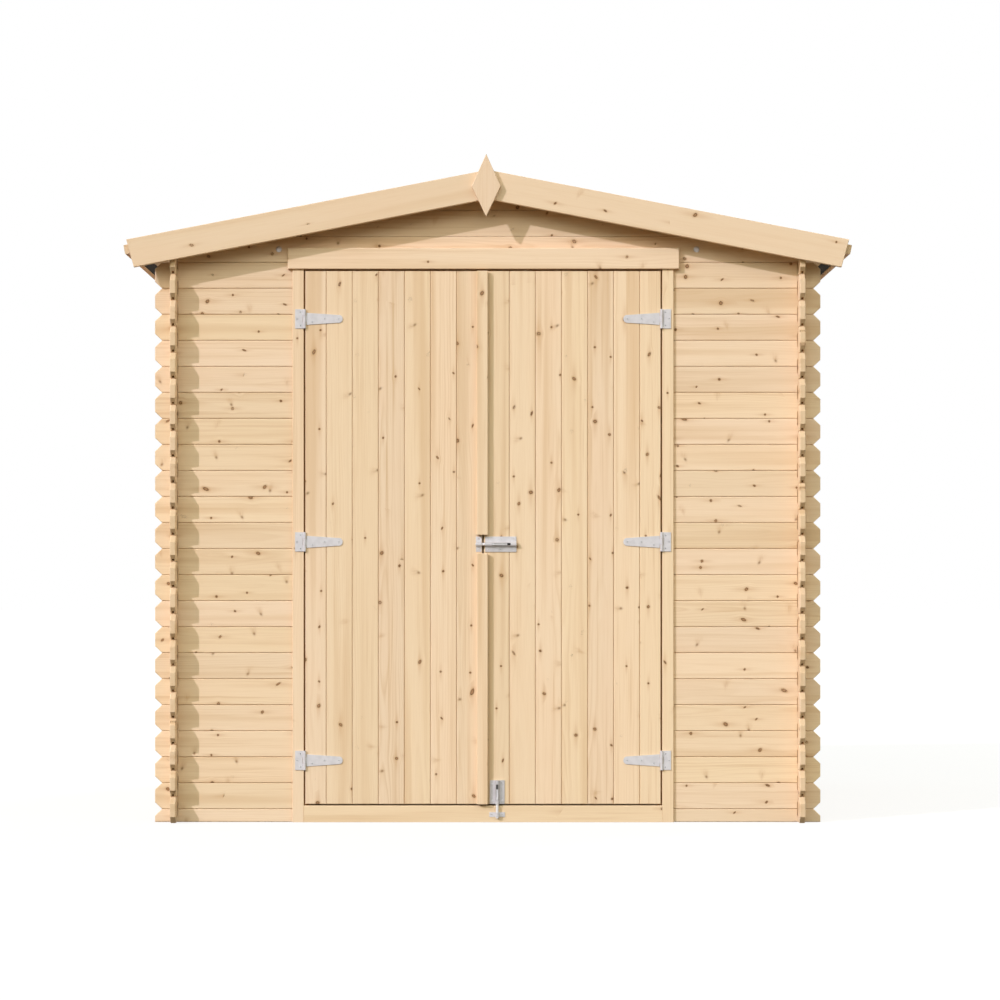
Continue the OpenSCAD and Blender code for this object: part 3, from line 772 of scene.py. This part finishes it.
def fascia(side, node):
    wood = Timber("eave_batten_" + node[12:])
    low = deck_t + felt_t + FASCIA[2] - FASCIA[1]
    outline = eased(rect(deck_run + felt_t, low, roof_run, low + FASCIA[1]), EASED)
    # the batten's top and underside get painted shade under the eave
    wood.prism(outline, -deck_y, deck_y, slope(side) @ XZ, along=W, deep=U, chamfer=0.0, edge=FRAME_EDGE_SHADE)
    wood.finish(frame_spruce, node)


BEAM = (0.0225, 0.095, 0.070)  # half the purlins' width, the ridge's height, the sides'
SIDE_BEAM_X = 0.706
CLEAT = (0.027, 0.235)  # depth of the cleats, length of those at the sides


def beam_bottom(x):
    return roof_at(x) - BEAM[2 if x else 1]


def purlins():
    half = BEAM[0]
    for name, node, places in (("ridge_beam", "ridge_purlin", (0.0,)),
                               ("side_beams", "side_purlins", (-SIDE_BEAM_X, SIDE_BEAM_X))):
        wood = Timber(name)
        for x in places:
            top = [(x + half, roof_at(x + half)), (x - half, roof_at(x - half))]
            if x == 0:
                top.insert(1, (0, ridge_z))
            outline = [(x - half, beam_bottom(x)), (x + half, beam_bottom(x))] + top
            wood.prism(eased(outline, BLUNT, (0, 1)), -in_y, in_y, XZ, along=W, deep=-V, chamfer=0.0)
        wood.finish(inner_spruce, node)

    cleats = Timber("gable_cleat_blocks")
    for end in (-1, 1):
        for x in (-SIDE_BEAM_X, 0.0, SIDE_BEAM_X):
            top = beam_bottom(x)
            foot = top - CLEAT[1] if x else wall_top
            y0, y1 = sorted((end * in_y, end * (in_y - CLEAT[0])))
            outline = eased(rect(x - half, y0, x + half, y1), BLUNT)
            cleats.prism(outline, foot, top, XY, along=W, deep=-V * end, chamfer=BLUNT)
    cleats.finish(inner_spruce, "gable_cleats")


class Sheet(Piece):
    """Felt laid as closed thin sheets that ripple a little."""

    sharp = 30

    def lay(self, place, u0, u1, low, high, ripple, nu=24, ny=96):
        """A sheet from u0 to u1 down the slope; low and high give its underside and top
        as heights at u0 and u1."""
        def layer(v0, v1, rise):
            rows = []
            for i in range(nu + 1):
                s = i / nu
                u, v = u0 + (u1 - u0) * s, v0 + (v1 - v0) * s
                row = []
                for j in range(ny + 1):
                    y = -deck_y + 2 * deck_y * j / ny
                    wave = rise * (noise.noise(Vector((u * 2.3, y * 3.1, 5.0))) - 0.6)
                    row.append(self.bm.verts.new(place @ Vector((u, y, v + wave))))
                rows.append(row)
            return rows

        bottom, top = layer(*low, 0.0), layer(*high, ripple)
        flip = place.determinant() < 0
        faces = []
        for i in range(nu):
            for j in range(ny):
                faces.append((top[i][j], top[i + 1][j], top[i + 1][j + 1], top[i][j + 1]))
                faces.append((bottom[i][j], bottom[i][j + 1], bottom[i + 1][j + 1], bottom[i + 1][j]))
        for i in range(nu):
            faces.append((top[i][0], bottom[i][0], bottom[i + 1][0], top[i + 1][0]))
            faces.append((top[i + 1][ny], bottom[i + 1][ny], bottom[i][ny], top[i][ny]))
        for j in range(ny):
            faces.append((top[0][j + 1], bottom[0][j + 1], bottom[0][j], top[0][j]))
            faces.append((top[nu][j], bottom[nu][j], bottom[nu][j + 1], top[nu][j + 1]))
        for face in faces:
            made = self.bm.faces.new(reversed(face) if flip else face)
            made.smooth = True


LAPS = (0.0, 0.46, 0.88, deck_run)  # where the sheets end, down the slope
LAP = 0.07
LIFT = 0.0012  # a sheet's thickness at its upper edge, on which the next one's lower edge lies
EDGE_ROOM = 0.012  # between the first sheets and the ridge


def felting(side, node):
    sheet = Sheet("felt_sheets_" + node[10:])
    at = slope(side)
    top = deck_t + felt_t
    for n, (u0, u1) in enumerate(zip(LAPS, LAPS[1:])):
        start = u0 - LAP if n else EDGE_ROOM
        end, lift = (u1 + felt_t, 0.0) if u1 == deck_run else (u1, LIFT)
        sheet.lay(at, start, end, (deck_t, deck_t + lift), (deck_t + LIFT, top), RIPPLE)
    # turned over the deck's edge and back under the eaves
    sheet.lay(at @ Matrix.Translation((deck_run, 0, 0)) @ Matrix.Rotation(math.pi / 2, 4, "Y"),
              -deck_t, felt_t, (0.0, 0.0), (felt_t, felt_t), 0.0, nu=2, ny=8)
    width, taper, ripple = FELT_RETURN
    sheet.lay(at @ Matrix.Rotation(math.pi, 4, "Y"), -deck_run, width - deck_run, (0.0, 0.0),
              (felt_t, felt_t - taper), ripple, nu=8, ny=64)
    sheet.finish(felt, node)


def ridge_strip():
    sheet = Sheet("felt_ridge_strip")
    top = deck_t + felt_t
    low, high = ([top + rise for rise in rises] for rises in RIDGE_RISE)
    for side in (1, -1):
        sheet.lay(slope(side), -top * tan_p, RIDGE_STRIP, low, high, RIPPLE, nu=8)
    sheet.finish(felt, "ridge_felt")


# ---- small ironmongery ----


class Metal(Piece):
    """One mesh of bolt or screw heads."""

    sharp = 35

    def lathe(self, profile, at, axis, segments):
        """Turns a profile of (radius, height) points, the last of which may lie on the axis,
        round an axis that starts at a point."""
        turn = axis.to_track_quat("Z", "Y").to_matrix()
        rings = []
        for radius, height in profile:
            ring = []
            for k in range(segments if radius else 1):
                angle = math.tau * k / segments
                spot = Vector((radius * math.cos(angle), radius * math.sin(angle), height))
                ring.append(self.bm.verts.new(at + turn @ spot))
            rings.append(ring)
        for low, high in zip(rings, rings[1:]):
            for k in range(segments):
                n = (k + 1) % segments
                if len(high) == 1:
                    face = self.bm.faces.new((low[k], low[n], high[0]))
                else:
                    face = self.bm.faces.new((low[k], low[n], high[n], high[k]))
                face.smooth = True

    def screw(self, at, radius):
        """A screw's head with a cross recess, on the front of the doors."""
        turn = OUT.to_track_quat("Z", "Y").to_matrix() @ Matrix.Rotation(rng.uniform(0, math.pi / 2), 3, "Z")
        rise, deep = radius * 0.16, radius * 0.30

        def ring(points, size, height):
            return [self.bm.verts.new(at + turn @ Vector((x * size, y * size, height))) for x, y in points]

        count = 24
        circle = [(math.cos(math.tau * k / count), math.sin(math.tau * k / count)) for k in range(count)]
        cross = [(0.16, -0.16), (0.62, -0.16), (0.62, 0.16)]
        for _ in range(3):
            cross += [(-y, x) for x, y in cross[-3:]]
        outer, shoulder = ring(circle, radius, 0.0), ring(circle, radius * 0.86, rise)
        rim, floor_ring = ring(cross, radius, rise), ring(cross, radius * 0.7, rise - deep)
        for low, high in ((outer, shoulder), (floor_ring, rim)):
            n = len(low)
            for k in range(n):
                quad = (low[k], low[(k + 1) % n], high[(k + 1) % n], high[k])
                self.bm.faces.new(reversed(quad) if low is floor_ring else quad)
        self.bm.faces.new(floor_ring)
        for quarter in range(4):
            # the flat of the head between two arms of the cross
            a = [shoulder[(quarter * 6 + k) % count] for k in range(7)]
            b = [rim[quarter * 3 + 1], rim[quarter * 3 + 2], rim[(quarter * 3 + 3) % 12],
                 rim[(quarter * 3 + 4) % 12]]
            self.bm.faces.new(a + [b[3], b[2], b[1]])
            self.bm.faces.new((rim[quarter * 3 + 1], a[0], b[1]))
        self.bm.faces.new(reversed(outer))


DOME = ((0.0100, 0.0), (0.0100, 0.0012), (0.0086, 0.0030), (0.0060, 0.0043), (0.0030, 0.0049),
        (0, 0.0050))  # the profile of a coach bolt's head


def coach_bolts():
    heads = Metal("coach_bolt_heads")
    lo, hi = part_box("coach_bolts")
    x, z = hi.x - DOME[0][0], (lo.z + hi.z) / 2
    for side in (-1, 1):
        for end in (-1, 1):
            heads.lathe(DOME, Vector((side * x, end * out_y, z)), Vector((0, end, 0)), 32)
    heads.finish(zinc_plate, "coach_bolts")


# ---- leaves ----

BATTEN_H = 0.090
BATTEN_CHAMFER = 0.003
BRACE_PLAY = 0.0005
STRIP_LAP = 0.005  # the part of the cover strip that lies on the right leaf
LOCK_CLEAR = 0.005  # between the cover strip and the lock bolt


def leaf(side, leaf_node, frame_node, body, name):
    """side is 1 for the right leaf, whose hinges are on its right."""
    lo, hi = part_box(leaf_node)
    hinge_x, meet_x = (hi.x, lo.x)[::side]
    wood = Timber(name + "_leaf_planks")
    edges = [hinge_x, hinge_x - side * LEAF_BOARDS[0]]
    while abs(edges[-1] - meet_x) > LEAF_BOARDS[1]:
        edges.append(edges[-1] - side * LEAF_BOARDS[1])
    edges.append(meet_x)
    for k, (a, b) in enumerate(zip(edges, edges[1:])):
        x0, x1 = sorted((a, b))
        x0 += JOINT if x0 > lo.x + 0.001 else 0
        x1 -= JOINT if x1 < hi.x - 0.001 else 0
        grooved = TONGUE[2] if k < len(edges) - 2 else 0.0
        tongued = TONGUE[1] if k > 0 else 0.0
        low, high = (grooved, tongued)[::side]
        core = rect(x0 + side * low, lo.z, x1 + side * high, hi.z)
        wood.tongued(rect(x0, lo.z, x1, hi.z), core, -hi.y, -lo.y, XZ, along=V)
    wood.finish(door_spruce, leaf_node, body=body)

    battens = Timber(name + "_leaf_battens")
    lo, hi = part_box(frame_node)
    depth = (-hi.y, -lo.y)
    half = BATTEN_H / 2
    for z in HINGE_Z:
        battens.prism(rect(lo.x, z - half, hi.x, z + half), *depth, XZ, deep=-W, chamfer=BATTEN_CHAMFER)
    near, far = (hi.x, lo.x)[::side]
    for z0, z1 in zip(HINGE_Z, HINGE_Z[1:]):
        z0, z1 = z0 + half + BRACE_PLAY, z1 - half - BRACE_PLAY
        outline = [(near, z0), (near - side * BATTEN_H, z0), (far, z1), (far + side * BATTEN_H, z1)]
        run = Vector((far - near, z1 - z0, 0)).normalized()
        battens.prism(outline[::-side], *depth, XZ, along=run, deep=-W, chamfer=BATTEN_CHAMFER)
    battens.finish(inner_spruce, frame_node, body=body)


def meeting_strips():
    wood = Timber("meeting_cover_strips")
    lo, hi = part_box("meeting_strips")
    leaf_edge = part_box("left_leaf_boards")[1].x
    lap_y = hi.y - STRIP_LAP
    outline = [(lo.x, lo.y), (hi.x, lo.y), (hi.x, lap_y), (leaf_edge, lap_y), (leaf_edge, hi.y), (lo.x, hi.y)]
    lock_lo, lock_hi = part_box("lock_bolt_body")
    for z0, z1 in ((lo.z, lock_lo.z - LOCK_CLEAR), (lock_hi.z + LOCK_CLEAR, hi.z)):
        wood.prism(eased(outline, BLUNT, (0, 1)), z0, z1, XY, along=W, deep=-V, chamfer=EASED)
    wood.finish(door_spruce, "meeting_strips", body="left_door")


# ---- hinges and bolts ----

TUNNEL_R = 0.008  # the bolt cases' tunnels, outside and inside
BORE_R = 0.0051
ROUNDING = 0.00045  # of the edges of the pressed pieces
PLATE_T, KEEPER_T = 0.003, 0.002  # thickness of the plates and of the bolts' keepers
PIN_INSET = 0.0025  # from the doorway's edge to the axis of the hinges
SCREW_INSET = (0.012, 0.008)  # from the ends and from the flanks of a bolt's plate
SCREW, SMALL_SCREW = 0.0042, 0.0034  # radius of the heads
HINGE_PLATE_SCREWS = ((0.0085, 0.0225), (0.0205, 0.0), (0.0085, -0.0225))
STRAP_SCREWS = ((0.026, -0.0105), (0.067, 0.0), (0.116, 0.0))


def case_shade_and_darkening(name, lo, hi, face):
    """How far a bolt case's face is darkened: painted shade inside the tunnels and slots and on the lee
    flanks away from the light, and a slight darkening of the rest but the ends.
    """
    if not name.endswith("_case"):
        return 0.0
    upright = name.startswith("floor")
    spot, way = face.calc_center_median(), face.normal
    across = spot.x - (lo.x + hi.x) / 2 if upright else spot.z - (lo.z + hi.z) / 2
    lee = way.x if upright else -way.z
    if abs(way.z if upright else way.x) > 0.5:
        return 0.0
    axis_y = lo.y + TUNNEL_R
    reach = math.hypot(across, spot.y - axis_y)
    towards = (way.x if upright else way.z) * across + way.y * (spot.y - axis_y)
    # painted shade inside the tunnel and its slot
    if reach < TUNNEL_R - 0.0004 and (towards < 0 or reach < BORE_R + 0.0006):
        return 0.7 if upright else 1.0
    # painted shade on the flank away from the light
    if lee > 0.6 and abs(across) < TUNNEL_R + 0.001:
        return 0.40
    # a slight darkening of the rest of the case
    return 0.14 if upright else 0.07


class Pressed(Piece):
    """A node's own shape with its edges rounded, as stamping and plating leave them."""

    sharp = 20

    def __init__(self, name, node):
        super().__init__(name)
        bm = self.bm
        bm.from_mesh(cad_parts[node].data)
        bmesh.ops.remove_doubles(bm, verts=bm.verts, dist=0.00001)
        bmesh.ops.dissolve_limit(bm, angle_limit=math.radians(1.0), verts=bm.verts, edges=bm.edges)
        # painted shade and darkening for each face of a bolt case
        shade_and_darkening = bm.faces.layers.float.new("shade_and_darkening")
        lo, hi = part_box(node)
        for face in bm.faces:
            face[shade_and_darkening] = case_shade_and_darkening(name, lo, hi, face)
        edges = [e for e in bm.edges if e.is_manifold and e.calc_face_angle() > math.radians(40)]
        bmesh.ops.bevel(bm, geom=edges, offset=ROUNDING, offset_type="OFFSET", segments=2, profile=0.5,
                        affect="EDGES", clamp_overlap=True)
        for face in bm.faces:
            face.smooth = True


def ironmongery():
    for name, node, body in (("hinge_leaves_jambs", "hinge_plates", "root"),
                             ("hinge_arms_left", "hinge_straps_left", "left_door"),
                             ("hinge_arms_right", "hinge_straps_right", "right_door"),
                             ("lock_bolt_case", "lock_bolt_body", "right_door"),
                             ("lock_bolt_bar", "lock_bolt_rod", "lock_bolt"),
                             ("lock_bolt_staple", "lock_bolt_keeper", "left_door"),
                             ("floor_bolt_case", "floor_bolt_body", "right_door"),
                             ("floor_bolt_bar", "floor_bolt_rod", "floor_bolt"),
                             ("floor_bolt_staple", "floor_bolt_keeper", "root")):
        metal = zinc_rod if name.endswith("_bar") else zinc_plate
        Pressed(name, node).finish(metal, node, body=body)

    plate_y, keeper_y = face_y - PLATE_T, face_y - KEEPER_T
    jamb_screws = Metal("screws_jambs")
    strap_screws = {1: Metal("screws_right_leaf"), -1: Metal("screws_left_leaf")}
    for side, pin in ((1, jamb_in_r - PIN_INSET), (-1, jamb_in_l + PIN_INSET)):
        for z in HINGE_Z:
            for dx, dz in HINGE_PLATE_SCREWS:
                jamb_screws.screw(Vector((pin + side * (dx + 2 * PIN_INSET), plate_y, z + dz)), SCREW)
            for dx, dz in STRAP_SCREWS:
                strap_screws[side].screw(Vector((pin - side * dx, plate_y, z + dz)), SCREW)
    for node, screws, y, axis, places in (("lock_bolt_body", strap_screws[1], plate_y, 0, (0, 0.5, 1)),
                                          ("floor_bolt_body", strap_screws[1], plate_y, 2, (0, 1)),
                                          ("lock_bolt_keeper", strap_screws[-1], keeper_y, 0, (0.5,)),
                                          ("floor_bolt_keeper", jamb_screws, keeper_y, 2, (0.5,))):
        lo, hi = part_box(node)
        end, flank = SCREW_INSET
        across = 2 - axis
        for place in places:
            for side in (lo[across] + flank, hi[across] - flank):
                at = Vector((0, y, 0))
                at[axis] = lo[axis] + end + (hi[axis] - lo[axis] - 2 * end) * place
                at[across] = side
                screws.screw(at, SMALL_SCREW)
    jamb_screws.finish(zinc_screw)
    strap_screws[1].finish(zinc_screw, body="right_door")
    strap_screws[-1].finish(zinc_screw, body="left_door")


# ---- stage, light, camera ----


def background_rays(g):
    """1 for the rays that should see plain white: the camera's, and those in metal or glass."""
    path = g.add("ShaderNodeLightPath").outputs
    seen = g.math("MAXIMUM", path["Is Camera Ray"], path["Is Glossy Ray"])
    return g.math("MAXIMUM", seen, path["Is Transmission Ray"])


GROUND_Z = -0.0006  # so that the floor isn't in one plane with the bearers' feet


def stage():
    """A white floor that keeps the object's shadow and throws little light back up."""
    bpy.ops.mesh.primitive_circle_add(vertices=96, radius=60, fill_type="NGON", location=(0, 0, GROUND_Z))
    ground = bpy.context.object
    ground.name = "studio_floor"
    g = Graph(bpy.data.materials.new("studio_white"))
    g.tree.nodes.clear()
    thrown = g.add("ShaderNodeBsdfDiffuse", {"Color": FLOOR_COLOUR}).outputs[0]
    shaded = g.add("ShaderNodeBsdfDiffuse", {"Color": FLOOR_WHITE}).outputs[0]
    glow = g.add("ShaderNodeEmission", {"Strength": FLOOR_GLOW[0]}).outputs[0]
    shown = g.blend(FLOOR_GLOW[1], shaded, glow)
    g.add("ShaderNodeOutputMaterial", {0: g.blend(background_rays(g), thrown, shown)})
    ground.data.materials.append(g.owner)


FLOOR_COLOUR = (0.10, 0.075, 0.04, 1)  # for the light that the floor throws up
FLOOR_WHITE = (0.85, 0.85, 0.85, 1)  # where the camera sees the shadow
FLOOR_GLOW = (1.06, 0.72)  # strength of the glow that makes it white, and its share
SKY_STRENGTH = 2.16  # a soft band of light at about 15 to 38 degrees, dimmer elsewhere
SKY = ((0.00, (0.12, 0.085, 0.045, 1)), (0.17, (0.38, 0.35, 0.26, 1)), (0.30, (0.92, 0.92, 0.74, 1)),
       (0.42, (1.22, 1.22, 1.02, 1)), (0.56, (0.78, 0.81, 0.75, 1)), (0.70, (0.36, 0.39, 0.37, 1)),
       (0.80, (0.14, 0.15, 0.15, 1)), (1.00, (0.14, 0.14, 0.14, 1)))
SUN = 1.91
SUN_COLOUR = (0.92, 0.87, 1.0)
SUN_WAY = Vector((1.12, 1.0, -0.80))
SUN_DEGREES = 0.9
BACK_FILL = 0.95
BACK_WAY = Vector((-0.80, -1.0, -0.90))
BACK_DEGREES = 25


def front_glow(g, way, colour):
    """The sky's colour, dimmer all round but for a soft lobe in front of the doors."""
    facing = g.vector("DOT_PRODUCT", g.vector("NORMALIZE", g.vector("MULTIPLY", way, (1, 1, 0))), GLOW_WAY)
    level = g.line(g.math("POWER", g.math("MAXIMUM", facing, 0.0), GLOW_POWER), *GLOW_SHARE)
    return g.add("ShaderNodeVectorMath", operation="SCALE", inputs={0: colour, "Scale": level}).outputs[0]


GLOW_WAY = (-0.34, -0.94, 0.0)  # in front and a little to the left
GLOW_POWER = 5.4
GLOW_SHARE = (0.56, 0.75)  # what the lobe adds, and the level elsewhere


def sun(name, strength, way, degrees, colour=(1, 1, 1)):
    lamp = bpy.data.lights.new(name, "SUN")
    lamp.energy = strength
    lamp.angle = math.radians(degrees)
    lamp.color = colour
    light = bpy.data.objects.new(name, lamp)
    light.rotation_euler = way.to_track_quat("-Z", "Y").to_euler()
    light.location = -5 * way
    bpy.context.scene.collection.objects.link(light)


def lights():
    world = bpy.data.worlds.new("studio")
    bpy.context.scene.world = world
    g = Graph(world)
    g.tree.nodes.clear()
    way = g.add("ShaderNodeTexCoord").outputs["Generated"]
    sky = g.ramp(g.split(way)[2], SKY)
    soft = g.add("ShaderNodeBackground", {"Color": front_glow(g, way, sky), "Strength": SKY_STRENGTH})
    white = g.add("ShaderNodeBackground", {"Color": (1, 1, 1, 1)})
    g.add("ShaderNodeOutputWorld", {0: g.blend(background_rays(g), soft.outputs[0], white.outputs[0])})
    sun("key_sun", SUN, SUN_WAY, SUN_DEGREES, SUN_COLOUR)
    sun("back_fill", BACK_FILL, BACK_WAY, BACK_DEGREES)


CAMERA_FROM_WALL = 10.04
CAMERA_HEIGHT = 0.835
LENS = 106.9  # focal length on a sensor 36 wide, both in millimetres
SHIFT = (0.0123, 0.075)


def camera():
    data = bpy.data.cameras.new("camera")
    data.lens = LENS
    data.sensor_width = 36
    data.shift_x, data.shift_y = SHIFT
    data.clip_end = 300
    eye = bpy.data.objects.new("camera", data)
    eye.location = (0, -out_y - CAMERA_FROM_WALL, CAMERA_HEIGHT)
    eye.rotation_euler = (math.pi / 2, 0, 0)
    bpy.context.scene.collection.objects.link(eye)
    bpy.context.scene.camera = eye
    bpy.context.scene.view_settings.view_transform = "Standard"


# ---- assembly ----

camera()
door_wall(-1, "front_wall_left", "door_wall_boards_left")
door_wall(1, "front_wall_right", "door_wall_boards_right")
gable("front_gable_boards", "front_gable", in_y, out_y, W)
back_wall()
gable("back_gable_boards", "back_gable", -out_y, -in_y, -W)
side_wall(-1, "side_wall_left")
side_wall(1, "side_wall_right")
door_frame()
for x_side, x_name in ((-1, "left"), (1, "right")):
    for y_side, y_name in ((1, "front"), (-1, "back")):
        bargeboard(f"bargeboard_{y_name}_{x_name}", x_side, y_side)
    roof_deck(x_side, "roof_deck_" + x_name)
    felting(x_side, "roof_felt_" + x_name)
    fascia(x_side, "eave_fascia_" + x_name)
finial("finial_front", 1)
finial("finial_back", -1)
ridge_strip()
purlins()
floor()
leaf(-1, "left_leaf_boards", "left_leaf_frame", "left_door", "left")
leaf(1, "right_leaf_boards", "right_leaf_frame", "right_door", "right")
meeting_strips()
coach_bolts()
ironmongery()
stage()
lights()
